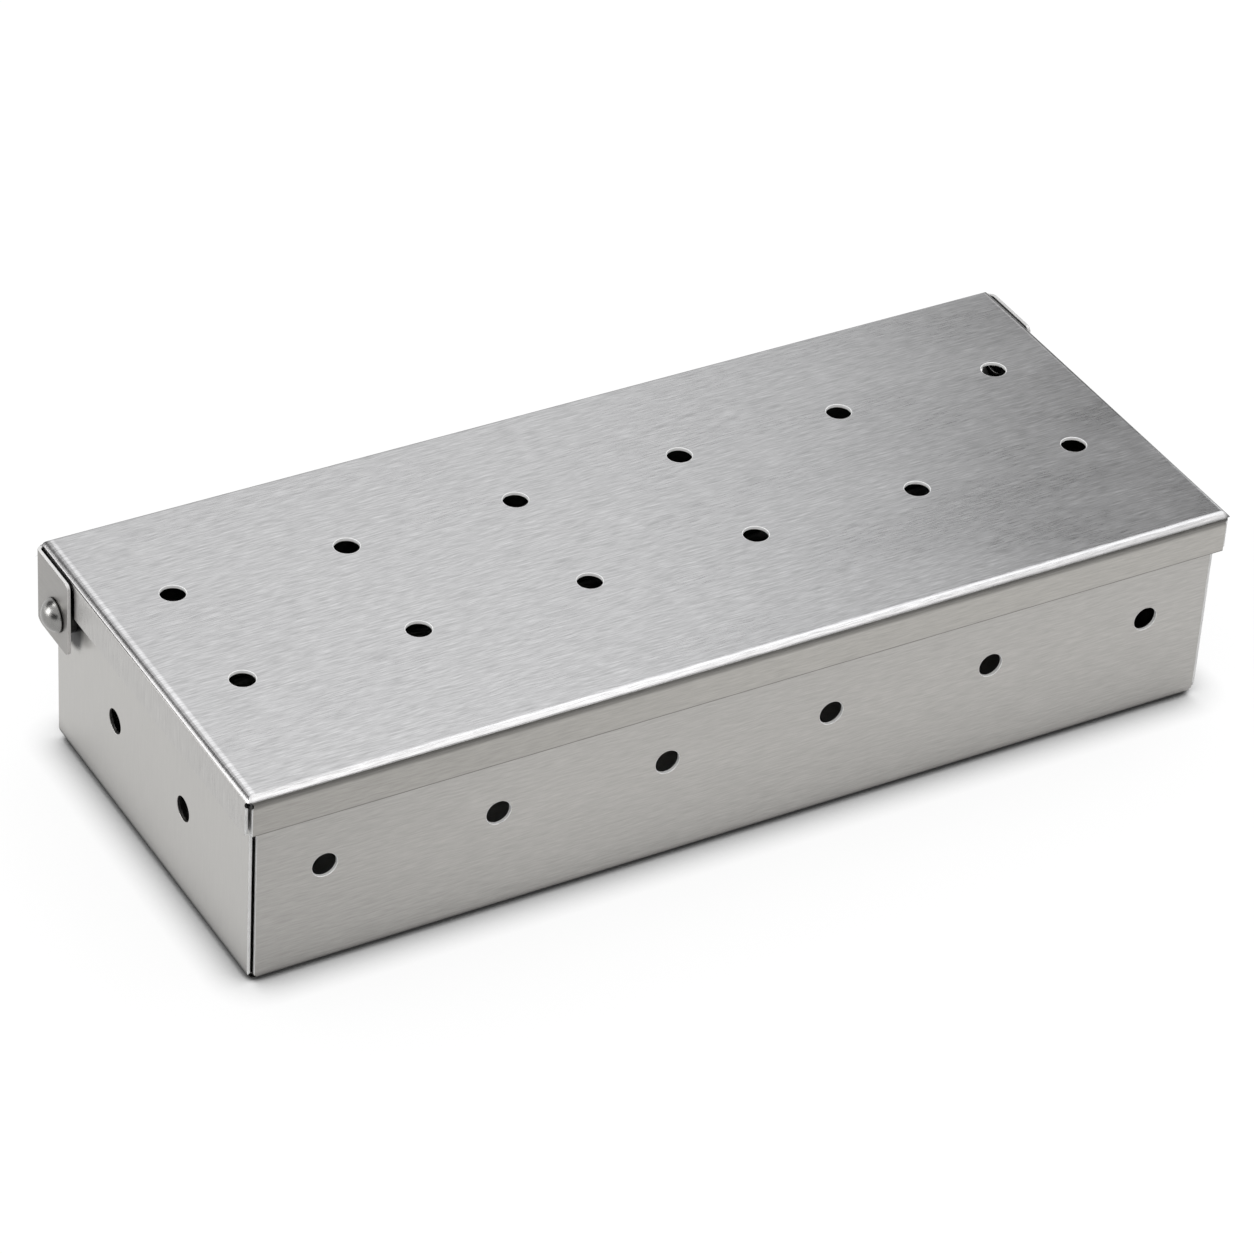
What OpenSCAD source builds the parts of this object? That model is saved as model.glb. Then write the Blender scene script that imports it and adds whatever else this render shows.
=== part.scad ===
// Hinged-lid smoker box, folded from thin stainless sheet.
// Origin: middle of the footprint, on the table. X runs along the box,
// Y to the rear, where the lid hinges, and Z up. Millimetres.

/* [Overall] */
// Length of the lid, over the outer faces of its end flanges
lid_length = 230; // [190:1:280]
// Depth of the lid, from the front flange to the rear lip
lid_depth = 96; // [88:1:120]
// Height of the closed box
box_height = 48; // [44:0.5:60]
// Thickness of the sheet
sheet = 0.8; // [0.6:0.05:1]

/* [Lid] */
// Height of the front and end flanges
flange_height = 9.3; // [8:0.1:11.5]
// Height of the lip along the rear edge
rear_lip_height = 3.5; // [3:0.25:4]
// Outer radius of the bend above the front flange
front_bend_radius = 2.2; // [1.6:0.1:2.4]
// Outer radius of the bend above each end flange
end_bend_radius = 2; // [1.6:0.1:2.2]
// Outer radius of the bend above the rear lip
rear_bend_radius = 1; // [1:0.1:1.8]
// How far each flange stops short of the lid's front corners
lid_corner_cut = 1.2; // [1:0.05:1.4]
// Diameter of the relief hole above each of those cuts
lid_relief_diameter = 1.9; // [1.5:0.1:2.1]
// Depth of the relief hole's centre below the top of the lid
lid_relief_drop = 2; // [1.9:0.1:2.4]

/* [Vent holes] */
// Diameter of every vent hole
vent_diameter = 5.5; // [4:0.25:8]
// Holes in each long row
vent_count = 6; // [2:1:6]
// Distance from each end of the lid to the first hole in its rows
lid_vent_margin = 16.5; // [12:0.5:30]
// Distance of the lid's rear row behind the middle
lid_rear_row = 20; // [14:0.5:24]
// Distance of the lid's front row before the middle
lid_front_row = 12; // [8:0.5:20]
// Distance from each end of the lid to the first hole in the front and rear walls
wall_vent_margin = 18; // [12:0.5:30]
// Height of the holes in the front and rear walls
wall_vent_height = 25; // [20:0.5:30]
// Distance between the two holes in each end wall
end_vent_spacing = 32; // [20:0.5:40]
// Height of the holes in the end walls
end_vent_height = 23; // [18:0.5:26]

/* [Tray] */
// Outer radius of the bends round the floor
floor_bend_radius = 3; // [2.4:0.1:4]
// Gap between each end flange and the end wall behind it
end_clearance = 0.9; // [0.7:0.05:1.2]
// Gap between the front flange and the front wall
front_clearance = 0.9; // [0.85:0.05:1.2]
// Gap between the rear lip and the rear wall
rear_clearance = 2.6; // [2.4:0.1:3.2]
// Gap left above the walls' top edges when the lid is shut
seat_gap = 0.3; // [0.3:0.05:0.6]
// How far each end wall stops short of the front wall's outer face
end_wall_setback = 0.9; // [0.9:0.05:1.2]
// How far the front and rear walls stop short of the end wall's outer face
long_wall_setback = 1.3; // [1.25:0.05:1.6]
// Diameter of the relief hole at the foot of each corner seam
seam_relief_diameter = 1.6; // [1.2:0.1:2]
// Height of that hole's centre above the table
seam_relief_height = 1.5; // [1.3:0.1:2]

/* [Hinge] */
// Distance of the hinge axis before the lid's rear face
pivot_from_rear = 9.8; // [9.2:0.1:10.2]
// Distance of the hinge axis below the top of the lid
pivot_from_top = 11.9; // [11.7:0.1:12.6]
// Length of each ear, from its front edge to the lid's rear face
ear_length = 15.8; // [15:0.1:17]
// Height of each ear
ear_height = 17.7; // [16.8:0.1:19]
// Gap between an end flange's outer plane and the ear's inner face
ear_standoff = 0.5; // [0.4:0.05:0.9]
// Outer radius of the bend that turns the lip round into an ear
ear_bend_radius = 1.6; // [1.3:0.1:1.6]
// Radius of an ear's two front corners
ear_corner_radius = 1.4; // [1:0.1:3]
// Radius of its lower rear corner
ear_heel_radius = 3.4; // [2:0.1:4]
// Gap between an ear's front edge and the end flange
ear_front_gap = 0.3; // [0.2:0.05:0.6]
// Room between the tall part of an ear's rear bend and the end wall's outer plane
ear_side_room = 0.7; // [0.4:0.05:0.9]

/* [Rivets] */
// Diameter of a rivet's shank
shank_diameter = 4; // [3:0.1:4.4]
// Running clearance round the shank in an ear, on the radius
running_clearance = 0.05; // [0.03:0.01:0.08]
// Clearance round the shank in the wall and the washers, on the radius
fit_clearance = 0.02; // [0.01:0.005:0.04]
// Side play of an ear, between the rivet's head and the spacer, on each side
side_play = 0.05; // [0.03:0.01:0.1]
// Diameter of the domed head
head_diameter = 7.6; // [6.5:0.1:8.5]
// Height of the head's straight rim
head_rim = 0.5; // [0.3:0.1:0.8]
// Height of the dome on that rim
head_dome = 2.4; // [1.8:0.1:2.8]
// Diameter of the clenched tail inside the tray
tail_diameter = 6.6; // [6:0.1:7.4]
// Height of that tail
tail_height = 1.4; // [1:0.1:2]
// Diameter of the spacer between an ear and the end wall
spacer_diameter = 9; // [7:0.1:10]
// Diameter of the washer under the clenched tail
backing_diameter = 10; // [8.5:0.1:11]
// Thickness of that washer
backing_thickness = 0.8; // [0.5:0.1:1.2]

/* [Hidden] */
$fn = 96;
// How far a cutter runs past the surface that it cuts
past = 1;

lid_top = box_height;
lid_half = lid_length / 2;
lid_front = -lid_depth / 2;
lid_rear = lid_depth / 2;
flange_bottom = lid_top - flange_height;

tray_half = lid_half - sheet - end_clearance;
tray_front = lid_front + sheet + front_clearance;
tray_rear = lid_rear - sheet - rear_clearance;
wall_top = lid_top - sheet - seat_gap;

pivot_y = lid_rear - pivot_from_rear;
pivot_z = lid_top - pivot_from_top;
// The tray's edges behind the pivot stay inside this circle, so the lid swings past them
swing_radius = wall_top - pivot_z;
rear_wall_top = pivot_z + sqrt(pow(swing_radius, 2) - pow(tray_rear - pivot_y, 2));

ear_inner = lid_half + ear_standoff;
ear_outer = ear_inner + sheet;
ear_front = lid_rear - ear_length;
ear_top = lid_top - rear_bend_radius - 0.1;
ear_bottom = ear_top - ear_height;
flange_end = ear_front - ear_front_gap;
// Behind the flange the end keeps only its bend and this much more
end_strip_height = end_bend_radius + 0.6;

// A bar along X past both ends of the box: the child is its section in Y and Z
module bar_x(half) {
    translate([-half, 0, 0]) rotate([90, 0, 90]) linear_extrude(2 * half) children();
}

// A bar along Y: the child is its section in X and Z
module bar_y(half) {
    translate([0, half, 0]) rotate([90, 0, 0]) linear_extrude(2 * half) children();
}

// What rounding takes off a lower left corner that lies at the origin
module corner_waste(radius) {
    difference() {
        translate([-past, -past]) square(radius + past);
        translate([radius, radius]) circle(radius);
    }
}

// A section with its two lower corners rounded
module trough(left, right, bottom, top, left_radius, right_radius) {
    difference() {
        translate([left, bottom]) square([right - left, top - bottom]);
        translate([left, bottom]) corner_waste(left_radius);
        translate([right, bottom]) mirror([1, 0]) corner_waste(right_radius);
    }
}

// A section with its two upper corners rounded
module arch(left, right, bottom, top, left_radius, right_radius) {
    translate([0, top]) mirror([0, 1])
        trough(left, right, 0, top - bottom, left_radius, right_radius);
}

// What the tray's outer faces enclose, drawn in by inset on every face
module tray_block(inset, top) {
    radius = floor_bend_radius - inset;
    intersection() {
        bar_x(tray_half + past)
            trough(tray_front + inset, tray_rear - inset, inset, top, radius, radius);
        bar_y(lid_depth)
            trough(inset - tray_half, tray_half - inset, inset, top, radius, radius);
    }
}

// What the lid's outer faces enclose, drawn in by inset on every face
module lid_block(inset, bottom) {
    end_radius = end_bend_radius - inset;
    intersection() {
        bar_x(lid_half + past)
            arch(lid_front + inset, lid_rear - inset, bottom, lid_top - inset,
                 front_bend_radius - inset, rear_bend_radius - inset);
        bar_y(lid_depth)
            arch(inset - lid_half, lid_half - inset, bottom, lid_top - inset,
                 end_radius, end_radius);
    }
}

// Both ends of what is drawn at the right-hand end
module both_ends() {
    children();
    mirror([1, 0, 0]) children();
}

// Opens the corner where two walls meet at x and y; side is 1 at the rear, -1 at the front
module corner_slot(x, y, side, cut_x, cut_y, low, high, hole_diameter, hole_z) {
    translate([x - cut_x, side > 0 ? y - cut_y : y - past, low])
        cube([cut_x + past, cut_y + past, high - low]);
    translate([x - cut_x / 2, y - side * cut_y / 2, hole_z])
        rotate([90, 0, -45 * side])
            cylinder(d = hole_diameter, h = 2 * (cut_x + sheet), center = true);
}

// A row of drills along Z, spread evenly between a margin at each end of the lid
module drill_row(margin, length) {
    pitch = (lid_length - 2 * margin) / (vent_count - 1);
    for (i = [0 : vent_count - 1])
        translate([margin - lid_half + i * pitch, 0, 0])
            cylinder(d = vent_diameter, h = length);
}

// A drill along X, right through the box, on the hinge axis
module hinge_drill(radius) {
    translate([-ear_outer - past, pivot_y, pivot_z])
        rotate([0, 90, 0]) cylinder(r = radius, h = 2 * (ear_outer + past));
}

// The tray: floor and four walls in one folded sheet
module tray() {
    color("silver") difference() {
        tray_block(0, wall_top);
        tray_block(sheet, wall_top + past);
        // The rear wall is lower, and the end walls are rounded behind the hinge
        translate([-lid_half, tray_rear - sheet, rear_wall_top])
            cube([lid_length, sheet + past, lid_top]);
        difference() {
            translate([-lid_half, pivot_y, pivot_z])
                cube([lid_length, pivot_from_rear, pivot_from_top]);
            hinge_drill(swing_radius);
        }
        both_ends() {
            for (corner = [[tray_front, -1], [tray_rear, 1]])
                corner_slot(tray_half, corner[0], corner[1], long_wall_setback,
                            end_wall_setback, seam_relief_height, lid_top,
                            seam_relief_diameter, seam_relief_height);
        }
        translate([0, lid_rear, wall_vent_height])
            rotate([90, 0, 0]) drill_row(wall_vent_margin, lid_depth);
        for (side = [-1, 1])
            translate([-lid_half, side * end_vent_spacing / 2, end_vent_height])
                rotate([0, 90, 0]) cylinder(d = vent_diameter, h = lid_length);
        hinge_drill(shank_diameter / 2 + fit_clearance);
    }
}

// The lid's top, flanges and rear lip
module lid_shell() {
    difference() {
        lid_block(0, flange_bottom);
        lid_block(sheet, flange_bottom - past);
        translate([-lid_half - past, lid_rear - sheet, flange_bottom - past])
            cube([lid_length + 2 * past, sheet + past, flange_height + past - rear_lip_height]);
        both_ends() {
            translate([lid_half - sheet - past, flange_end, flange_bottom - past])
                cube([sheet + 2 * past, lid_rear - sheet - flange_end,
                      flange_height + past - end_strip_height]);
            corner_slot(lid_half, lid_front, -1, lid_corner_cut, lid_corner_cut,
                        flange_bottom - past, lid_top - lid_relief_drop,
                        lid_relief_diameter, lid_top - lid_relief_drop);
        }
    }
}

// The right-hand ear seen from above, with its bend and its return to the rear lip
module ear_plan() {
    bend_x = ear_outer - ear_bend_radius;
    bend_y = lid_rear - ear_bend_radius;
    return_start = tray_half + ear_side_room;
    translate([ear_inner, ear_front]) square([sheet, bend_y - ear_front]);
    translate([return_start, lid_rear - sheet]) square([bend_x - return_start, sheet]);
    translate([bend_x, bend_y]) intersection() {
        difference() {
            circle(ear_bend_radius);
            circle(ear_bend_radius - sheet);
        }
        square(ear_bend_radius);
    }
}

// An ear seen from the side, with its free corners rounded
module ear_outline() {
    difference() {
        translate([ear_front, ear_bottom]) square([ear_length, ear_height]);
        translate([ear_front, ear_bottom]) corner_waste(ear_corner_radius);
        translate([ear_front, ear_top]) mirror([0, 1]) corner_waste(ear_corner_radius);
        translate([lid_rear, ear_bottom]) mirror([1, 0]) corner_waste(ear_heel_radius);
    }
}

// The lid: top, flanges, rear lip and both hinge ears in one folded sheet
module lid() {
    color("lightgray") difference() {
        union() {
            lid_shell();
            intersection() {
                both_ends() translate([0, 0, ear_bottom]) linear_extrude(ear_height) ear_plan();
                bar_x(ear_outer + past) ear_outline();
            }
        }
        for (row = [lid_rear_row, -lid_front_row])
            translate([0, row, flange_bottom]) drill_row(lid_vent_margin, flange_height + past);
        hinge_drill(shank_diameter / 2 + running_clearance);
    }
}

// Puts a piece that is drawn outward along Z, from the end wall's face, on the hinge axis
module on_hinge(side) {
    translate([side * tray_half, pivot_y, pivot_z]) rotate([0, 90 * side, 0]) children();
}

// A low dome on a round base
module dome(diameter, height) {
    radius = (pow(diameter / 2, 2) + pow(height, 2)) / (2 * height);
    intersection() {
        cylinder(d = diameter, h = height);
        translate([0, 0, height - radius]) sphere(radius);
    }
}

// A washer that the rivet's shank passes through
module washer(diameter, from, to) {
    color("darkgray") translate([0, 0, from]) difference() {
        cylinder(d = diameter, h = to - from);
        translate([0, 0, -past])
            cylinder(r = shank_diameter / 2 + fit_clearance, h = to - from + 2 * past);
    }
}

// A rivet, clenched inside the tray
module rivet() {
    head_base = ear_outer + side_play - tray_half;
    tail_base = -sheet - backing_thickness;
    color("gainsboro") {
        translate([0, 0, tail_base]) cylinder(d = shank_diameter, h = head_base - tail_base);
        translate([0, 0, head_base]) cylinder(d = head_diameter, h = head_rim);
        translate([0, 0, head_base + head_rim]) dome(head_diameter, head_dome);
        translate([0, 0, tail_base]) mirror([0, 0, 1]) dome(tail_diameter, tail_height);
    }
}

// The spacer that holds an ear off the end wall
module spacer() {
    washer(spacer_diameter, 0, ear_inner - side_play - tray_half);
}

// The washer between the end wall and the rivet's tail
module backing_washer() {
    washer(backing_diameter, -sheet - backing_thickness, -sheet);
}

tray();
lid();
on_hinge(-1) rivet();  // rivet_left
on_hinge(1) rivet();  // rivet_right
on_hinge(-1) spacer();  // spacer_left
on_hinge(1) spacer();  // spacer_right
on_hinge(-1) backing_washer();  // backing_washer_left
on_hinge(1) backing_washer();  // backing_washer_right
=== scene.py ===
import math

import bpy
from mathutils import Matrix, Vector


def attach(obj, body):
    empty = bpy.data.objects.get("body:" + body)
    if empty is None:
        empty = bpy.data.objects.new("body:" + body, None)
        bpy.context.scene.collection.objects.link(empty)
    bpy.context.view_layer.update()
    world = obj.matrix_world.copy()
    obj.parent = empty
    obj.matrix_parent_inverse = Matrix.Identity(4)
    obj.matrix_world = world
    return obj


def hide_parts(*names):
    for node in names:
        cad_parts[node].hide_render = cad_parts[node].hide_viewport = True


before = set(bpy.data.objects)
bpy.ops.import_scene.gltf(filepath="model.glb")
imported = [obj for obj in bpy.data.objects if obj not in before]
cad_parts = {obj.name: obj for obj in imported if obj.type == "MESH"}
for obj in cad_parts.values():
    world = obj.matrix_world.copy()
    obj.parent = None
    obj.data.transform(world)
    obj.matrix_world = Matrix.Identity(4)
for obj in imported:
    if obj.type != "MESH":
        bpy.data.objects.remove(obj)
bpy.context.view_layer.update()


# The tray: one sheet of brushed stainless steel, folded up into a floor and four walls.
# Its corners stay open, with a relief hole at the foot of each seam, and its vent holes
# are punched before folding. A piece is made in millimetres and finished in metres.
SHEET = 0.8
TRAY_LOW = (-113.3, -46.3, 0.0)
TRAY_HIGH = (113.3, 44.6, 46.9)
TRAY_FOLD = 3.0
TRAY_SEAM = (1.3, 0.9)
TRAY_RELIEF_Z = 1.5
TRAY_RELIEF_RADIUS = 0.8
REAR_WALL_TOP = 44.8
VENT_RADIUS = 2.75
WALL_VENTS = [-97.0 + 38.8 * step for step in range(6)]
WALL_VENT_Z = 25.0
END_VENTS = (-16.0, 16.0)
END_VENT_Z = 23.0
PIVOT_Y = 38.2
PIVOT_Z = 36.1
TRAY_PIVOT_RADIUS = 2.02
SWING_RADIUS = 10.8
# Cutting tools end here, outside the box
PAST_X = 117.0
PAST_Y = 50.0
PAST_Z = 50.0
# Points closer than MERGE are one point, and places closer than NEAR are the same place
MERGE = 0.002
NEAR = 0.01
FOLD_STEPS = 12
EDGE_ROLL = 0.13


def select_only(piece):
    """Leaves one object selected and active."""
    bpy.ops.object.select_all(action="DESELECT")
    piece.select_set(True)
    bpy.context.view_layer.objects.active = piece


def settle():
    """Takes the selected object's place, turn and scale into its mesh."""
    bpy.ops.object.transform_apply(location=True, rotation=True, scale=True)


def to_metres(piece):
    """Brings the selected piece from millimetres to metres."""
    piece.scale = (0.001, 0.001, 0.001)
    settle()


def block(low, high):
    """A block between two corners."""
    bpy.ops.object.select_all(action="DESELECT")
    bpy.ops.mesh.primitive_cube_add(size=1)
    piece = bpy.context.object
    piece.location = [(a + b) / 2 for a, b in zip(low, high)]
    piece.scale = [b - a for a, b in zip(low, high)]
    settle()
    return piece


def bar(start, end, radius, facets=64):
    """A round bar from one point to another, to drill with."""
    run = Vector(end) - Vector(start)
    bpy.ops.object.select_all(action="DESELECT")
    bpy.ops.mesh.primitive_cylinder_add(
        vertices=facets, radius=radius, depth=run.length,
        location=(Vector(start) + Vector(end)) / 2,
        rotation=run.to_track_quat("Z", "Y").to_euler())
    settle()
    return bpy.context.object


def lengthwise_bar(y, z, radius, facets=64):
    """A round bar through both ends of the box."""
    return bar((-PAST_X - 1, y, z), (PAST_X + 1, y, z), radius, facets)


def round_edges(piece, radius, chosen):
    """Rounds the edges whose two ends both pass the test."""
    select_only(piece)
    bpy.ops.object.mode_set(mode="EDIT")
    bpy.ops.mesh.select_mode(type="EDGE")
    bpy.ops.mesh.select_all(action="DESELECT")
    bpy.ops.object.mode_set(mode="OBJECT")
    points = piece.data.vertices
    for edge in piece.data.edges:
        edge.select = all(chosen(points[end].co) for end in edge.vertices)
    bpy.ops.object.mode_set(mode="EDIT")
    bpy.ops.mesh.bevel(offset=radius, segments=FOLD_STEPS, affect="EDGES")
    bpy.ops.object.mode_set(mode="OBJECT")


def combine(piece, tool, how="DIFFERENCE"):
    """Cuts a piece with a tool, or joins or trims it, and uses the tool up."""
    modifier = piece.modifiers.new("combine", "BOOLEAN")
    modifier.operation = how
    modifier.solver = "EXACT"
    modifier.object = tool
    select_only(piece)
    bpy.ops.object.modifier_apply(modifier=modifier.name)
    bpy.ops.object.mode_set(mode="EDIT")
    bpy.ops.mesh.select_all(action="SELECT")
    bpy.ops.mesh.remove_doubles(threshold=MERGE)
    bpy.ops.mesh.dissolve_degenerate(threshold=MERGE)
    bpy.ops.object.mode_set(mode="OBJECT")
    bpy.data.objects.remove(tool)


def close_up(piece):
    """Merges doubled points and turns every face outwards."""
    select_only(piece)
    bpy.ops.object.mode_set(mode="EDIT")
    bpy.ops.mesh.select_all(action="SELECT")
    bpy.ops.mesh.remove_doubles(threshold=MERGE)
    bpy.ops.mesh.normals_make_consistent(inside=False)
    bpy.ops.object.mode_set(mode="OBJECT")


def near(place, other):
    """Whether two places on one axis are the same."""
    return abs(place - other) < NEAR


def folded_block(low, high, fold_z, front, rear, ends):
    """A block with rounded fold lines along its front, its rear and both ends."""
    over = 5
    lengthwise = block((low[0] - over, low[1], low[2]), (high[0] + over, high[1], high[2]))
    for fold_y, radius in ((low[1], front), (high[1], rear)):
        round_edges(lengthwise, radius, lambda p: near(p.z, fold_z) and near(p.y, fold_y))
    crosswise = block((low[0], low[1] - over, low[2]), (high[0], high[1] + over, high[2]))
    for fold_x in (low[0], high[0]):
        round_edges(crosswise, ends, lambda p: near(p.z, fold_z) and near(p.x, fold_x))
    combine(lengthwise, crosswise, "INTERSECT")
    return lengthwise


def folded_sheet(low, high, fold_z, front, rear, ends):
    """A thin sheet folded at four lines, open on the side away from fold_z."""
    shell = folded_block(low, high, fold_z, front, rear, ends)
    up = fold_z == low[2]
    inner_low = (low[0] + SHEET, low[1] + SHEET, low[2] + SHEET if up else low[2] - 1)
    inner_high = (high[0] - SHEET, high[1] - SHEET, high[2] + 1 if up else high[2] - SHEET)
    inner_fold = inner_low[2] if up else inner_high[2]
    hollow = folded_block(inner_low, inner_high, inner_fold,
                          front - SHEET, rear - SHEET, ends - SHEET)
    combine(shell, hollow)
    return shell


def open_corner(piece, corner, seam, relief_z, relief_radius, free_z):
    """Parts two walls at a corner, from a relief hole up or down to the sheet's free edge."""
    outward = [math.copysign(1, value) for value in corner]
    slot_x = sorted((corner[0] - outward[0] * seam[0], corner[0] + outward[0] * 2))
    slot_y = sorted((corner[1] - outward[1] * seam[1], corner[1] + outward[1] * 2))
    slot_z = sorted((relief_z, free_z))
    combine(piece, block(*zip(slot_x, slot_y, slot_z)))
    middle = Vector((corner[0] - outward[0] * seam[0] / 2,
                     corner[1] - outward[1] * seam[1] / 2, relief_z))
    reach = Vector((*outward, 0)).normalized() * (seam[0] + SHEET)
    combine(piece, bar(middle - reach, middle + reach, relief_radius, 32))


def finish_piece(piece, name, low, high):
    """Rolls the sheared edges over, evens the shading and brings the piece to metres.

    Nothing is left outside low and high, the corners of the sheet metal's own box.
    """
    piece.name = name
    piece.data.name = name
    close_up(piece)
    bpy.ops.object.shade_smooth()
    rolled = piece.modifiers.new("rolled_edges", "BEVEL")
    rolled.width = EDGE_ROLL
    rolled.segments = 2
    rolled.limit_method = "ANGLE"
    rolled.angle_limit = math.radians(40)
    rolled.use_clamp_overlap = False
    bpy.ops.object.modifier_apply(modifier=rolled.name)
    for point in piece.data.vertices:
        point.co = [min(max(value, least), most)
                    for value, least, most in zip(point.co, low, high)]
    even = piece.modifiers.new("even_shading", "WEIGHTED_NORMAL")
    even.weight = 100
    bpy.ops.object.modifier_apply(modifier=even.name)
    to_metres(piece)


tray = folded_sheet(TRAY_LOW, TRAY_HIGH, TRAY_LOW[2], TRAY_FOLD, TRAY_FOLD, TRAY_FOLD)
rear_wall_inner = TRAY_HIGH[1] - SHEET - 0.001
combine(tray, block((-PAST_X, rear_wall_inner, REAR_WALL_TOP), (PAST_X, PAST_Y, PAST_Z)))
behind_pivot = block((-PAST_X, PIVOT_Y, PIVOT_Z), (PAST_X, PAST_Y, PAST_Z))
combine(behind_pivot, lengthwise_bar(PIVOT_Y, PIVOT_Z, SWING_RADIUS, 128))
combine(tray, behind_pivot)
for corner_x in (TRAY_LOW[0], TRAY_HIGH[0]):
    for corner_y in (TRAY_LOW[1], TRAY_HIGH[1]):
        open_corner(tray, (corner_x, corner_y), TRAY_SEAM, TRAY_RELIEF_Z, TRAY_RELIEF_RADIUS,
                    PAST_Z)
for vent_x in WALL_VENTS:
    combine(tray, bar((vent_x, -PAST_Y, WALL_VENT_Z), (vent_x, PAST_Y, WALL_VENT_Z),
                      VENT_RADIUS))
for vent_y in END_VENTS:
    combine(tray, lengthwise_bar(vent_y, END_VENT_Z, VENT_RADIUS))
combine(tray, lengthwise_bar(PIVOT_Y, PIVOT_Z, TRAY_PIVOT_RADIUS, 48))
finish_piece(tray, "tray_sheet", TRAY_LOW, TRAY_HIGH)


def lay_flat(piece, place):
    """Gives each face its place in the flat sheet, so that the grain follows the folds."""
    flat = piece.data.uv_layers.new(name="flat_sheet")
    for face in piece.data.polygons:
        for corner in face.loop_indices:
            point = piece.data.vertices[piece.data.loops[corner].vertex_index].co
            flat.data[corner].uv = place(point, face.normal)


def place_in_tray_sheet(point, normal):
    """The place in the flat tray sheet, in metres, of a point on a face."""
    if abs(normal.x) > max(abs(normal.y), 0.05):
        return (point.x + math.copysign(point.z, point.x), point.y)
    if abs(normal.y) > 0.05:
        return (point.x, point.y + math.copysign(point.z, point.y))
    return (point.x, point.y)


def ramp(tree, value, start, end, low, high, soft=False):
    """Goes from low to high while a value goes from start to end, and is level past both."""
    span = tree.nodes.new("ShaderNodeMapRange")
    span.interpolation_type = "SMOOTHSTEP" if soft else "LINEAR"
    span.inputs["From Min"].default_value = start
    span.inputs["From Max"].default_value = end
    span.inputs["To Min"].default_value = low
    span.inputs["To Max"].default_value = high
    tree.links.new(value, span.inputs["Value"])
    return span.outputs["Result"]


def spread(tree, noise, low, high):
    """Spreads a noise, which lies mostly between 0.3 and 0.7, from low to high."""
    return ramp(tree, noise, 0.3, 0.7, low, high)


def worked(tree, kind, first, second):
    """Works out a sum, product or the like of two values, each a socket or a number."""
    result = tree.nodes.new("ShaderNodeMath")
    result.operation = kind
    for socket, value in zip(result.inputs, (first, second)):
        if isinstance(value, float):
            socket.default_value = value
        else:
            tree.links.new(value, socket)
    return result.outputs["Value"]


def toned(tree, tone, *ramps):
    """Multiplies a tone by one ramp after another."""
    for values in ramps:
        tone = worked(tree, "MULTIPLY", tone, ramp(tree, *values))
    return tone


def painted_gap_shade(tree, reach, deep, shut, clear, feelers=4):
    """Painted shade: a tone that is deep in a gap narrower than about reach, and 1 in the open.

    Shut and clear are the shares of open view at which it is deep and at which it is 1.
    """
    view = tree.nodes.new("ShaderNodeAmbientOcclusion")
    view.samples = feelers
    view.inputs["Distance"].default_value = reach
    return ramp(tree, view.outputs["AO"], shut, clear, deep, 1.0)


def own_axes(tree):
    """A point's X, Y and Z on the piece's own axes, in metres."""
    place = tree.nodes.new("ShaderNodeTexCoord")
    split = tree.nodes.new("ShaderNodeSeparateXYZ")
    tree.links.new(place.outputs["Object"], split.inputs["Vector"])
    return [split.outputs[axis] for axis in "XYZ"]


def steel_surface(tree, colour, tone, matt, height, bump):
    """Puts a steel's colour, roughness and fine relief on its shader."""
    shader = tree.nodes["Principled BSDF"]
    shade = tree.nodes.new("ShaderNodeVectorMath")
    shade.operation = "SCALE"
    shade.inputs["Vector"].default_value = colour
    tree.links.new(tone, shade.inputs["Scale"])
    tree.links.new(shade.outputs["Vector"], shader.inputs["Base Color"])
    tree.links.new(matt, shader.inputs["Roughness"])
    relief = tree.nodes.new("ShaderNodeBump")
    relief.inputs["Strength"].default_value = bump
    relief.inputs["Distance"].default_value = 0.00002
    tree.links.new(height, relief.inputs["Height"])
    tree.links.new(relief.outputs["Normal"], shader.inputs["Normal"])


def streaks(tree, place, along, upright, detail, rough):
    """A noise drawn out along the sheet, with so many waves to the metre each way."""
    stretch = tree.nodes.new("ShaderNodeMapping")
    stretch.inputs["Scale"].default_value = (along, upright, 1.0)
    tree.links.new(place, stretch.inputs["Vector"])
    noise = tree.nodes.new("ShaderNodeTexNoise")
    noise.noise_dimensions = "2D"
    noise.inputs["Scale"].default_value = 1.0
    noise.inputs["Detail"].default_value = detail
    noise.inputs["Roughness"].default_value = rough
    tree.links.new(stretch.outputs["Vector"], noise.inputs["Vector"])
    return noise.outputs["Fac"]


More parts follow.
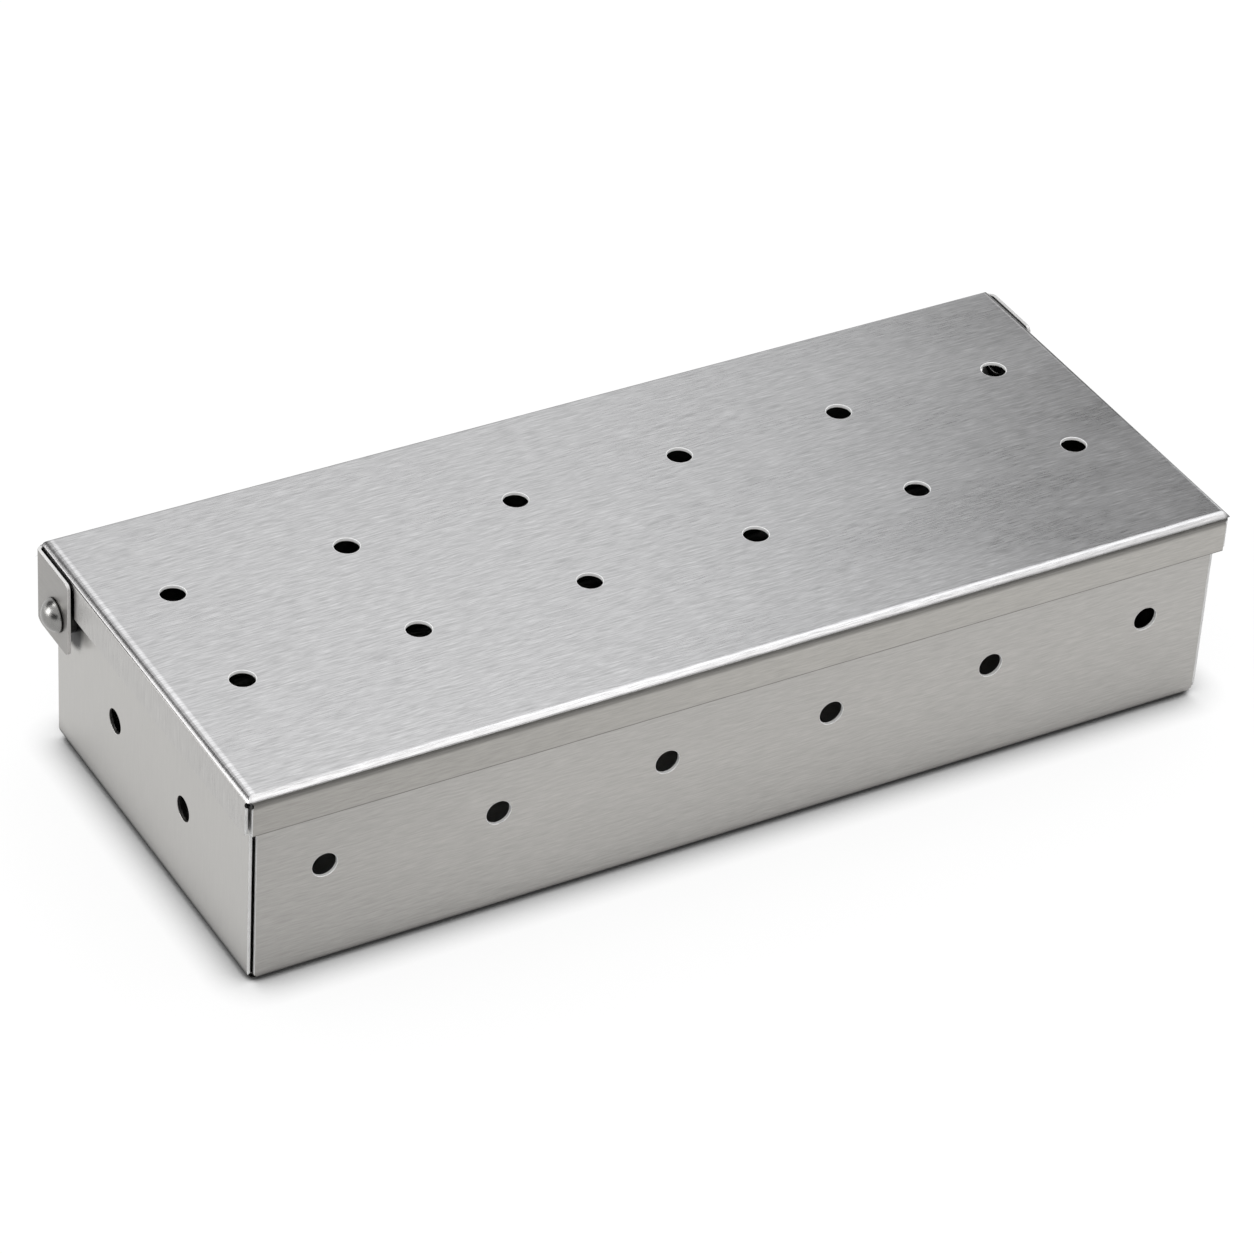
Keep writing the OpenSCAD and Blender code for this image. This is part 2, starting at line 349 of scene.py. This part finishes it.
def brushed_steel(name, colour, roughness, fleck, bump, across=0.75,
                  gap=(0.002, 0.45, 0.3, 0.9), feelers=4, light_painter=None):
    """Brushed stainless: short fine flecks along the sheet, scratches and a soft unevenness.

    Fleck is how much the grain shows, and across is how far it spreads a reflection
    sideways. Gap is the reach, deep, shut and clear of the painted shade in narrow gaps,
    and the function given last paints a piece's own light and shade into its tone and
    may change its roughness.
    """
    steel = bpy.data.materials.new(name)
    steel.use_nodes = True
    tree = steel.node_tree
    shader = tree.nodes["Principled BSDF"]
    shader.inputs["Metallic"].default_value = 1.0
    shader.inputs["Anisotropic"].default_value = across
    shader.inputs["Anisotropic Rotation"].default_value = 0.25
    direction = tree.nodes.new("ShaderNodeTangent")
    direction.direction_type = "UV_MAP"
    direction.uv_map = "flat_sheet"
    tree.links.new(direction.outputs["Tangent"], shader.inputs["Tangent"])
    flat = tree.nodes.new("ShaderNodeUVMap")
    flat.uv_map = "flat_sheet"
    straight = flat.outputs["UV"]

    # The brush wandered a little, so the flecks don't lie quite straight
    sway = tree.nodes.new("ShaderNodeCombineXYZ")
    tree.links.new(streaks(tree, straight, 110.0, 160.0, detail=1.0, rough=0.5),
                   sway.inputs["Y"])
    wander = tree.nodes.new("ShaderNodeVectorMath")
    wander.operation = "MULTIPLY_ADD"
    tree.links.new(sway.outputs["Vector"], wander.inputs[0])
    wander.inputs[1].default_value = (0.0, 0.0006, 0.0)
    tree.links.new(straight, wander.inputs[2])
    swayed = wander.outputs["Vector"]

    grain = streaks(tree, swayed, 260.0, 4200.0, detail=3.0, rough=0.6)
    scratches = streaks(tree, swayed, 120.0, 2300.0, detail=2.0, rough=0.5)
    cloud = streaks(tree, straight, 22.0, 60.0, detail=2.0, rough=0.5)
    grain_tone = spread(tree, grain, 1.0 - 0.16 * fleck, 1.0 + 0.16 * fleck)
    scratch_tone = spread(tree, scratches, 1.0 - 0.1 * fleck, 1.0 + 0.1 * fleck)
    fine_tone = worked(tree, "MULTIPLY", scratch_tone, spread(tree, cloud, 0.98, 1.02))
    sheet_tone = worked(tree, "MULTIPLY", grain_tone, fine_tone)
    # Painted shade in narrow gaps, where other steel lies close
    tone = worked(tree, "MULTIPLY", sheet_tone, painted_gap_shade(tree, *gap, feelers))
    matt = worked(tree, "ADD", spread(tree, cloud, roughness - 0.02, roughness + 0.02),
                  spread(tree, grain, -0.02, 0.02))
    if light_painter:
        tone, matt = light_painter(tree, tone, matt)
    steel_surface(tree, colour, tone, matt, worked(tree, "ADD", grain, scratches), bump)
    return steel


def plain_steel(name, colour, roughness, tooth, metallic=1.0, reach=0.0012):
    """Sheared, turned or headed steel: a fine even tooth and faint tarnish, with no grain.

    Tooth is its waves to the metre. It carries painted shade where other steel lies closer than
    reach.
    """
    steel = bpy.data.materials.new(name)
    steel.use_nodes = True
    tree = steel.node_tree
    tree.nodes["Principled BSDF"].inputs["Metallic"].default_value = metallic
    place = tree.nodes.new("ShaderNodeTexCoord")

    def speckle(scale, detail, low, high):
        texture = tree.nodes.new("ShaderNodeTexNoise")
        texture.inputs["Scale"].default_value = scale
        texture.inputs["Detail"].default_value = detail
        tree.links.new(place.outputs["Object"], texture.inputs["Vector"])
        return spread(tree, texture.outputs["Fac"], low, high)

    tarnish = speckle(420.0, 2.0, 0.93, 1.05)
    # The faint tarnish, times painted shade where other steel is close
    tone = worked(tree, "MULTIPLY", tarnish, painted_gap_shade(tree, reach, 0.05, 0.35, 0.85))
    steel_surface(tree, colour, tone, speckle(tooth, 3.0, roughness - 0.03, roughness + 0.04),
                  speckle(tooth, 3.0, 0.0, 1.0), bump=0.15)
    return steel


def wall_painted_shade(tree, tone, matt):
    """Painted shade: the walls are darker towards the table and towards the left end. Places in
    metres.
    """
    x, _, z = own_axes(tree)
    tone = toned(tree, tone, (z, 0.001, 0.022, 0.93, 1.05), (x, -0.115, -0.05, 0.87, 1.0))
    return tone, matt


# Deep painted shade in the walls' narrow gaps, such as under the lid's flange
wall_steel = brushed_steel("tray_brushed_steel", (0.43, 0.419, 0.402), 0.32, fleck=0.5,
                           bump=0.15, gap=(0.002, 0.03, 0.35, 0.62), light_painter=wall_painted_shade)
# Its gap settings paint a dark shadow on the end wall in the narrow gap behind each ear
end_steel = brushed_steel("tray_end_satin_steel", (0.485, 0.476, 0.459), 0.34, fleck=0.15,
                          bump=0.05, across=0.5, gap=(0.012, 0.01, 0.52, 0.66), feelers=12)
# Deep painted shade over the inside, wherever other steel lies within a few centimetres
inner_steel = brushed_steel("inner_mill_steel", (0.33, 0.323, 0.312), 0.42, fleck=0.4,
                            bump=0.1, across=0.4, gap=(0.06, 0.04, 0.02, 0.4))
# The cut edges are pale and nearly matt; part of that paleness is painted highlight for the
# light they catch
sheared_steel = plain_steel("sheared_edge_steel", (0.92, 0.92, 0.91), 0.5, tooth=3600.0,
                            metallic=0.1, reach=0.002)

# A face deeper than SKIN under the outside of a sheet belongs to its inside, one within
# VENT_RIM of a vent's middle belongs to the vent, and one BESIDE a seam's edge to the seam
SKIN = SHEET - 0.1
VENT_RIM = VENT_RADIUS + 0.35
BESIDE = 0.2


def tray_finish(middle, normal):
    """The steel of a tray face: sheared at vents and seams, mill finish on the inside."""
    for vent_x in WALL_VENTS:
        in_vent = math.hypot(middle.x - vent_x, middle.z - WALL_VENT_Z) < VENT_RIM
        if in_vent and abs(normal.y) < 0.95:
            return sheared_steel
    # The end vents' walls take the inside's steel, and with it its painted shade
    for vent_y in END_VENTS:
        in_vent = math.hypot(middle.y - vent_y, middle.z - END_VENT_Z) < VENT_RIM
        if in_vent and abs(normal.x) < 0.5:
            return inner_steel
    from_end = TRAY_HIGH[0] - abs(middle.x)
    from_side = min(middle.y - TRAY_LOW[1], TRAY_HIGH[1] - middle.y)
    if abs(from_end - TRAY_SEAM[0]) < BESIDE and abs(normal.x) > 0.5:
        if abs(middle.y) > 43.5 and middle.z > 1.0:
            return sheared_steel
    if abs(from_side - TRAY_SEAM[1]) < BESIDE and abs(normal.y) > 0.5 and from_end < 0.9:
        return sheared_steel
    if min(from_end, from_side, middle.z) > SKIN:
        return inner_steel
    return end_steel if abs(normal.x) > 0.7 else wall_steel


def give_finishes(piece, steels, chosen):
    """Gives each face of a finished sheet its steel, by its middle in mm and its normal."""
    piece.data.materials.clear()
    for steel in steels:
        piece.data.materials.append(steel)
    for face in piece.data.polygons:
        face.material_index = steels.index(chosen(face.center * 1000, face.normal))


lay_flat(tray, place_in_tray_sheet)
give_finishes(tray, [wall_steel, end_steel, inner_steel, sheared_steel], tray_finish)
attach(tray, "tray_body")
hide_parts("tray")


# The lid: a second stainless sheet, with a flange down the front and both ends and a
# lip along the rear. The lip's ends wrap round the rear corners into the two hinge
# ears, and two rows of vent holes are punched through the top.
LID_LOW = (-115.0, -48.0, 38.7)
LID_HIGH = (115.0, 48.0, 48.0)
LID_FRONT_FOLD = 2.2
LID_REAR_FOLD = 1.0
LID_END_FOLD = 2.0
LID_SEAM = (1.2, 1.2)
LID_RELIEF_Z = 46.0
LID_RELIEF_RADIUS = 0.95
LID_VENTS = [-98.5 + 39.4 * step for step in range(6)]
LID_VENT_ROWS = (-12.0, 20.0)
LID_PIVOT_RADIUS = 2.05
REAR_LIP_BOTTOM = 44.5
END_FLANGE_REAR = 31.9
END_FLANGE_CUT_TOP = 45.4
PAST_BOTTOM = 38.0
EAR_INNER = 115.5
EAR_OUTER = 116.3
EAR_FRONT = 32.2
EAR_BOTTOM = 29.2
EAR_TOP = 46.9
EAR_BEND = 1.6
EAR_JOIN = 114.0
EAR_CORNER = 1.4
EAR_HEEL = 3.4


def hinge_ear():
    """The right-hand ear: a plate, spun through its bend and run back along the lip."""
    bend_x = EAR_OUTER - EAR_BEND
    bend_y = LID_HIGH[1] - EAR_BEND
    ear = block((EAR_INNER, EAR_FRONT - 1, EAR_BOTTOM - 1), (EAR_OUTER, bend_y, EAR_TOP + 1))
    select_only(ear)
    bpy.ops.object.mode_set(mode="EDIT")
    bpy.ops.mesh.select_mode(type="FACE")
    bpy.ops.mesh.select_all(action="DESELECT")
    bpy.ops.object.mode_set(mode="OBJECT")
    for face in ear.data.polygons:
        face.select = face.normal.y > 0.9
    bpy.ops.object.mode_set(mode="EDIT")
    bpy.ops.mesh.spin(steps=10, angle=math.pi / 2, center=(bend_x, bend_y, 0), axis=(0, 0, -1))
    bpy.ops.mesh.extrude_region_move(
        TRANSFORM_OT_translate={"value": (EAR_JOIN - bend_x, 0, 0)})
    bpy.ops.object.mode_set(mode="OBJECT")
    outline = block((EAR_JOIN - 1, EAR_FRONT, EAR_BOTTOM),
                    (PAST_X + 1, LID_HIGH[1] + NEAR, EAR_TOP))
    for corner_y, corner_z, radius in ((EAR_FRONT, EAR_BOTTOM, EAR_CORNER),
                                       (EAR_FRONT, EAR_TOP, EAR_CORNER),
                                       (LID_HIGH[1] + NEAR, EAR_BOTTOM, EAR_HEEL)):
        round_edges(outline, radius, lambda p: near(p.y, corner_y) and near(p.z, corner_z))
    combine(ear, outline, "INTERSECT")
    return ear


lid = folded_sheet(LID_LOW, LID_HIGH, LID_HIGH[2], LID_FRONT_FOLD, LID_REAR_FOLD, LID_END_FOLD)
lip_inner = LID_HIGH[1] - SHEET
combine(lid, block((-PAST_X, lip_inner, PAST_BOTTOM), (PAST_X, PAST_Y, REAR_LIP_BOTTOM)))
for side in (-1, 1):
    cut_x = sorted((side * (LID_HIGH[0] - SHEET - 1), side * PAST_X))
    combine(lid, block((cut_x[0], END_FLANGE_REAR, PAST_BOTTOM),
                       (cut_x[1], lip_inner, END_FLANGE_CUT_TOP)))
    open_corner(lid, (side * LID_HIGH[0], LID_LOW[1]), LID_SEAM, LID_RELIEF_Z,
                LID_RELIEF_RADIUS, PAST_BOTTOM)
    ear = hinge_ear()
    if side < 0:
        ear.scale = (-1, 1, 1)
        select_only(ear)
        settle()
        close_up(ear)
    combine(lid, ear, "UNION")
for row_y in LID_VENT_ROWS:
    for vent_x in LID_VENTS:
        combine(lid, bar((vent_x, row_y, LID_HIGH[2] - 3), (vent_x, row_y, LID_HIGH[2] + 4),
                         VENT_RADIUS))
combine(lid, lengthwise_bar(PIVOT_Y, PIVOT_Z, LID_PIVOT_RADIUS, 48))
finish_piece(lid, "lid_sheet", (-EAR_OUTER, LID_LOW[1], EAR_BOTTOM), (EAR_OUTER, *LID_HIGH[1:]))


def place_in_lid_sheet(point, normal):
    """The place in the flat lid sheet, in metres, of a point on a face.

    An ear has its own stretch of the sheet, past the end, with its grain along it.
    """
    drop = LID_HIGH[2] / 1000 - point.z
    if abs(point.x) * 1000 > EAR_INNER - 0.2:
        along = point.y + math.copysign(0.2 + abs(point.x), point.x)
        return (along, point.z + abs(point.x))
    if abs(normal.x) > max(abs(normal.y), 0.05):
        return (point.x + math.copysign(drop, point.x), point.y)
    if abs(normal.y) > 0.05:
        return (point.x, point.y + math.copysign(drop, point.y))
    return (point.x, point.y)


def lid_painted_light(tree, tone, matt):
    """Painted light on the lid: painted highlights along the front and left folds, painted dark
    reflections just past them, painted shade along the rear and right folds, and a top
    painted lighter towards the front. The painted highlights are also a little smoother.
    """
    x, y, _ = own_axes(tree)
    # Painted highlight along the left fold's top edge, and along the front fold, fading to the
    # right
    left_highlight = worked(tree, "MULTIPLY", ramp(tree, x, -0.1123, -0.1129, 0.0, 0.36, soft=True),
                       ramp(tree, x, -0.1133, -0.1137, 1.0, 0.0, soft=True))
    front_highlight = worked(tree, "MULTIPLY", ramp(tree, y, -0.0461, -0.0475, 0.0, 1.0, soft=True),
                        ramp(tree, x, -0.05, 0.1, 1.0, 0.45))
    painted_highlight = worked(tree, "MAXIMUM", front_highlight, left_highlight)
    # Painted shade along the rear and right folds
    painted_edge_shade = worked(tree, "MAXIMUM", ramp(tree, y, 0.0469, 0.0476, 0.0, 1.0),
                  ramp(tree, x, 0.1134, 0.1142, 0.0, 1.0))
    # Painted dark reflections past the left and front highlights, and the top painted lighter to
    # the front
    tone = toned(tree, tone, (x, -0.1134, -0.1139, 1.0, 0.85, True),
                 (y, -0.0473, -0.0478, 1.0, 0.6, True), (y, 0.048, -0.044, 0.96, 1.04),
                 (painted_highlight, 0.0, 1.0, 1.0, 2.05), (painted_edge_shade, 0.0, 1.0, 1.0, 0.4))
    return tone, worked(tree, "SUBTRACT", matt, ramp(tree, painted_highlight, 0.0, 1.0, 0.0, 0.1))


def flange_painted_shade(tree, tone, matt):
    """Painted shade on the front flange: a dark line at its lower edge, for the shaded gap under
    it, a dark reflection just under its fold, and darker towards the left.
    """
    x, _, z = own_axes(tree)
    tone = toned(tree, tone, (z, 0.03885, 0.0391, 0.5, 1.0), (x, -0.115, 0.0, 0.88, 1.06),
                 (z, 0.0450, 0.0459, 1.0, 0.55, True))
    return tone, matt


top_steel = brushed_steel("lid_brushed_steel", (0.475, 0.47, 0.471), 0.30, fleck=1.0,
                          bump=0.08, light_painter=lid_painted_light)
ear_steel = brushed_steel("ear_satin_steel", (0.29, 0.282, 0.27), 0.34, fleck=0.3,
                          bump=0.05, across=0.4)
# The flange's colour, darker than the top's, is painted shade
flange_steel = brushed_steel("flange_brushed_steel", (0.41, 0.397, 0.375), 0.32, fleck=0.5,
                             bump=0.15, light_painter=flange_painted_shade)
end_flange_steel = brushed_steel("end_flange_steel", (0.47, 0.462, 0.45), 0.30, fleck=0.5,
                                 bump=0.15)
# The ear's top and front edges are painted pale, as a painted highlight
ear_edge_steel = plain_steel("ear_edge_steel", (0.7, 0.69, 0.68), 0.4, tooth=3600.0,
                             metallic=0.6)


def lid_finish(middle, normal):
    """The steel of a lid face: each part of the sheet has its own way of brushing."""
    facing_out = normal.x * math.copysign(1, middle.x)
    from_end = LID_HIGH[0] - abs(middle.x)
    from_front = middle.y - LID_LOW[1]
    from_side = LID_HIGH[1] - abs(middle.y)
    if from_end < -0.2:
        if facing_out < -0.5:
            return sheared_steel
        return ear_edge_steel if abs(normal.z) > 0.5 or normal.y < -0.5 else ear_steel
    in_seam = from_end < LID_SEAM[0] + BESIDE and from_front < LID_SEAM[1] + 0.3
    if in_seam and middle.z < LID_RELIEF_Z - 0.5:
        if facing_out > 0.5 and from_end > LID_SEAM[0] - 0.3:
            return sheared_steel
        if normal.y < -0.5 and from_front > LID_SEAM[1] - 0.3:
            return sheared_steel
    for row_y in LID_VENT_ROWS:
        for vent_x in LID_VENTS:
            in_vent = math.hypot(middle.x - vent_x, middle.y - row_y) < VENT_RIM
            if in_vent and abs(normal.z) < 0.95 and middle.z > 47.0:
                return sheared_steel
    if min(from_end, from_side, LID_HIGH[2] - middle.z) > SKIN:
        return inner_steel
    if normal.y < -0.85:
        return flange_steel
    return end_flange_steel if abs(normal.x) > 0.85 else top_steel


lay_flat(lid, place_in_lid_sheet)
give_finishes(lid, [top_steel, ear_steel, inner_steel, flange_steel, end_flange_steel,
                    sheared_steel, ear_edge_steel], lid_finish)
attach(lid, "lid_body")
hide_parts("lid")


# Spacers and backing washers: turned steel rings on the rivets. A spacer holds each ear
# off the end wall, and a backing washer spreads the clench over the inside of the wall.
RING_BORE = 2.02
RING_CHAMFER = 0.12
SPACER = ("spacer", 4.5, 0.0, 2.15)
BACKING_WASHER = ("backing_washer", 5.0, -2 * SHEET, -SHEET)


def turned(profile):
    """A piece turned round Z, from a list of radii and heights that runs up its outside."""
    radius, height = profile[0]
    bpy.ops.object.select_all(action="DESELECT")
    bpy.ops.mesh.primitive_circle_add(vertices=64, radius=radius, location=(0, 0, height))
    piece = bpy.context.object
    settle()
    bpy.ops.object.mode_set(mode="EDIT")
    bpy.ops.mesh.select_all(action="SELECT")
    for next_radius, next_height in profile[1:]:
        bpy.ops.mesh.extrude_region_move(
            TRANSFORM_OT_translate={"value": (0, 0, next_height - height)})
        share = next_radius / radius
        bpy.ops.transform.resize(value=(share, share, 1), center_override=(0, 0, next_height))
        radius, height = next_radius, next_height
    bpy.ops.object.mode_set(mode="OBJECT")
    close_up(piece)
    return piece


def on_hinge(piece, side, name):
    """Lays a turned piece on the hinge axis, from the end wall outwards, in metres."""
    turn = Matrix.Rotation(side * math.pi / 2, 4, "Y")
    piece.matrix_world = Matrix.Translation((side * TRAY_HIGH[0], PIVOT_Y, PIVOT_Z)) @ turn
    select_only(piece)
    settle()
    bpy.ops.object.shade_smooth_by_angle(angle=math.radians(35))
    to_metres(piece)
    piece.name = name
    piece.data.name = name


# Painted shade darkens the washers wherever other steel lies within 30 mm
washer_steel = plain_steel("washer_turned_steel", (0.2, 0.196, 0.188), 0.36, tooth=5200.0,
                           reach=0.03)
for side, hand in ((-1, "left"), (1, "right")):
    for kind, rim, low, high in (SPACER, BACKING_WASHER):
        bore_chamfer = RING_BORE + RING_CHAMFER
        rim_chamfer = rim - RING_CHAMFER
        low_chamfer = low + RING_CHAMFER
        high_chamfer = high - RING_CHAMFER
        ring = turned([(RING_BORE, low_chamfer), (bore_chamfer, low), (rim_chamfer, low),
                       (rim, low_chamfer), (rim, high_chamfer), (rim_chamfer, high),
                       (bore_chamfer, high), (RING_BORE, high_chamfer),
                       (RING_BORE, low_chamfer)])
        on_hinge(ring, side, f"{kind}_ring_{hand}")
        ring.data.materials.append(washer_steel)
        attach(ring, "tray_body")
        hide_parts(f"{kind}_{hand}")


# Rivets: domed steel rivets on the hinge axis, one at each end. The head stands
# outside the ear with a short straight rim, and the tail is clenched inside.
SHANK_RADIUS = 2.0
TAIL_RADIUS = 3.3
TAIL_HEIGHT = 1.4
TAIL_BASE = -2 * SHEET
HEAD_UNDERSIDE = 3.05
HEAD_RIM = [(3.6, HEAD_UNDERSIDE), (3.74, 3.10), (3.8, 3.22), (3.8, 3.42), (3.74, 3.52)]
DOME_RADIUS = 3.66
DOME_HEIGHT = 2.38
DOME_BASE = 3.55


def dome(radius, height, base, steps, rise=1):
    """Radii and heights of a low dome, from its rim to its pole. It hangs if rise is -1."""
    ball = (radius ** 2 + height ** 2) / (2 * height)
    span = math.asin(radius / ball)
    angles = [span * (1 - step / steps) for step in range(steps + 1)]
    return [(max(ball * math.sin(angle), 0.0005),
             base + rise * (ball * math.cos(angle) - ball + height)) for angle in angles]


tail = list(reversed(dome(TAIL_RADIUS, TAIL_HEIGHT, TAIL_BASE, 12, rise=-1)))
shank = [(SHANK_RADIUS, TAIL_BASE), (SHANK_RADIUS, HEAD_UNDERSIDE)]
head = HEAD_RIM + dome(DOME_RADIUS, DOME_HEIGHT, DOME_BASE, 24)
rivet_steel = plain_steel("rivet_headed_steel", (0.26, 0.257, 0.25), 0.26, tooth=4200.0)
for side, hand in ((-1, "left"), (1, "right")):
    rivet = turned(tail + shank + head)
    on_hinge(rivet, side, f"rivet_headed_{hand}")
    rivet.data.materials.append(rivet_steel)
    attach(rivet, "tray_body")
    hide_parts(f"rivet_{hand}")


# The floor: a plain white table with a tight soft shadow of the box, painted into its glow.
# It isn't part of the object. Its paint and its glow together make white.
FLOOR_PAINT = 0.16
FLOOR_GLOW = 0.84
SHADOW_REACH = 0.0085
SHADOW_SOFTNESS = 0.6

bpy.ops.object.select_all(action="DESELECT")
bpy.ops.mesh.primitive_circle_add(vertices=96, radius=2.5, fill_type="NGON",
                                  location=(0, 0, 0))
floor = bpy.context.object
floor.name = "floor"


def seen_white(tree):
    """A value that is 1 for what the camera, the steel's gloss and glass look at."""
    path = tree.nodes.new("ShaderNodeLightPath")
    either = worked(tree, "MAXIMUM", path.outputs["Is Camera Ray"],
                    path.outputs["Is Glossy Ray"])
    return worked(tree, "MAXIMUM", either, path.outputs["Is Transmission Ray"])


def floor_white():
    """A matt white that glows where it is seen, except in a painted shadow beside the box."""
    paint = bpy.data.materials.new("floor_white")
    paint.use_nodes = True
    tree = paint.node_tree
    matt = tree.nodes["Principled BSDF"]
    matt.inputs["Base Color"].default_value = (FLOOR_PAINT, FLOOR_PAINT, FLOOR_PAINT, 1.0)
    matt.inputs["Roughness"].default_value = 0.9
    matt.inputs["Specular IOR Level"].default_value = 0.0
    glow = tree.nodes.new("ShaderNodeEmission")
    glow.inputs["Color"].default_value = (1.0, 1.0, 1.0, 1.0)
    # Painted shadow: the glow fades where the box is close
    beside_box = painted_gap_shade(tree, SHADOW_REACH, 0.0, 0.38, 1.0, feelers=8)
    faded = worked(tree, "POWER", beside_box, SHADOW_SOFTNESS)
    lit = worked(tree, "MULTIPLY", faded, FLOOR_GLOW)
    tree.links.new(worked(tree, "MULTIPLY", lit, seen_white(tree)), glow.inputs["Strength"])
    both = tree.nodes.new("ShaderNodeAddShader")
    tree.links.new(matt.outputs["BSDF"], both.inputs[0])
    tree.links.new(glow.outputs["Emission"], both.inputs[1])
    tree.links.new(both.outputs["Shader"], tree.nodes["Material Output"].inputs["Surface"])
    return paint


floor.data.materials.append(floor_white())


# The studio: an even white room with soft lamps behind, over and beside the box. Grey
# cards, which only the steel reflects, shade its walls, and two small lamps and a card
# of their own model the left rivet head.
BOX_MIDDLE = (0.0, 0.0, 0.05)
LEFT_RIVET_HEAD = (-0.117, 0.038, 0.036)

world = bpy.data.worlds.new("studio")
bpy.context.scene.world = world
world.use_nodes = True
sky = world.node_tree.nodes["Background"]
sky.inputs["Color"].default_value = (1.0, 1.0, 1.0, 1.0)
world.node_tree.links.new(ramp(world.node_tree, seen_white(world.node_tree), 0.0, 1.0, 1.1, 1.0),
                          sky.inputs["Strength"])


def facing(place, aim, front):
    """The turn that points an object's front axis from a place towards an aim."""
    return (Vector(aim) - Vector(place)).to_track_quat(front, "Y").to_euler()


def softbox(name, place, aim, wide, high, radiance, colour=(1, 1, 1)):
    """A flat soft light of an even brightness, turned towards a point."""
    data = bpy.data.lights.new(name, "AREA")
    data.shape = "RECTANGLE"
    data.size = wide
    data.size_y = high
    data.energy = radiance * math.pi * wide * high
    data.color = colour
    lamp = bpy.data.objects.new(name, data)
    bpy.context.scene.collection.objects.link(lamp)
    lamp.location = place
    lamp.rotation_euler = facing(place, aim, "-Z")
    return lamp


def grey_card(name, place, aim, wide, high, grey):
    """A grey card beside the set that only the steel's reflections see."""
    bpy.ops.object.select_all(action="DESELECT")
    bpy.ops.mesh.primitive_plane_add(size=1)
    card = bpy.context.object
    card.name = name
    card.scale = (wide, high, 1)
    card.location = place
    card.rotation_euler = facing(place, aim, "Z")
    settle()
    paint = bpy.data.materials.new(name)
    paint.use_nodes = True
    tree = paint.node_tree
    tree.nodes.remove(tree.nodes["Principled BSDF"])
    glow = tree.nodes.new("ShaderNodeEmission")
    glow.inputs["Color"].default_value = (grey, grey, grey, 1.0)
    tree.links.new(glow.outputs["Emission"], tree.nodes["Material Output"].inputs["Surface"])
    card.data.materials.append(paint)
    card.visible_camera = False
    card.visible_diffuse = False
    card.visible_shadow = False
    card.visible_transmission = False


softbox("rear_panel", (0.20, 1.15, 0.95), BOX_MIDDLE, wide=1.3, high=1.2, radiance=0.25,
        colour=(0.9, 0.95, 1.0))
softbox("right_overhead", (0.63, 0.11, 1.02), (0.0, 0.0, 0.0), wide=0.6, high=0.6,
        radiance=1.3, colour=(0.95, 0.975, 1.0))
grey_card("right_rear_flag", (1.22, 0.93, 0.9), (0.0, 0.0, 0.9), wide=0.9, high=1.9, grey=0.12)
grey_card("left_rear_flag", (-0.72, 1.0, 0.75), (0.0, 0.0, 0.1), wide=0.8, high=0.9, grey=0.08)
grey_card("front_flag", (0.3, -0.75, 0.08), BOX_MIDDLE, wide=2.0, high=0.5, grey=0.05)
softbox("left_strip", (-0.8, 0.75, 0.13), BOX_MIDDLE, wide=0.5, high=0.22, radiance=0.9)
grey_card("rivet_flag", (-0.52, -0.21, 0.12), LEFT_RIVET_HEAD, wide=0.35, high=0.3, grey=0.03)
for name, place, size, radiance in (("rivet_spark", (-0.677, 0.225, 0.223), 0.3, 5.0),
                                    ("rivet_rim", (-0.46, 0.25, 0.73), 0.2, 4.0)):
    softbox(name, place, LEFT_RIVET_HEAD, size, size, radiance).visible_diffuse = False


# The camera: a long lens a little over a metre away, in front of the left end and looking
# down on the box. It is rolled by a few degrees.
CAMERA_PLACE = (-0.48819, -0.79086, 0.69497)
CAMERA_AIM = (-0.00273, 0.0, 0.02314)
CAMERA_ROLL = 3.799

lens = bpy.data.cameras.new("camera")
lens.sensor_width = 36.0
lens.lens = 156.777
lens.clip_start = 0.05
lens.clip_end = 20.0
camera = bpy.data.objects.new("camera", lens)
bpy.context.scene.collection.objects.link(camera)
look = (Vector(CAMERA_AIM) - Vector(CAMERA_PLACE)).to_track_quat("-Z", "Y").to_matrix().to_4x4()
camera.matrix_world = (Matrix.Translation(CAMERA_PLACE) @ look
                       @ Matrix.Rotation(math.radians(CAMERA_ROLL), 4, "Z"))
bpy.context.scene.camera = camera
bpy.context.scene.view_settings.view_transform = "Standard"


bpy.context.view_layer.update()
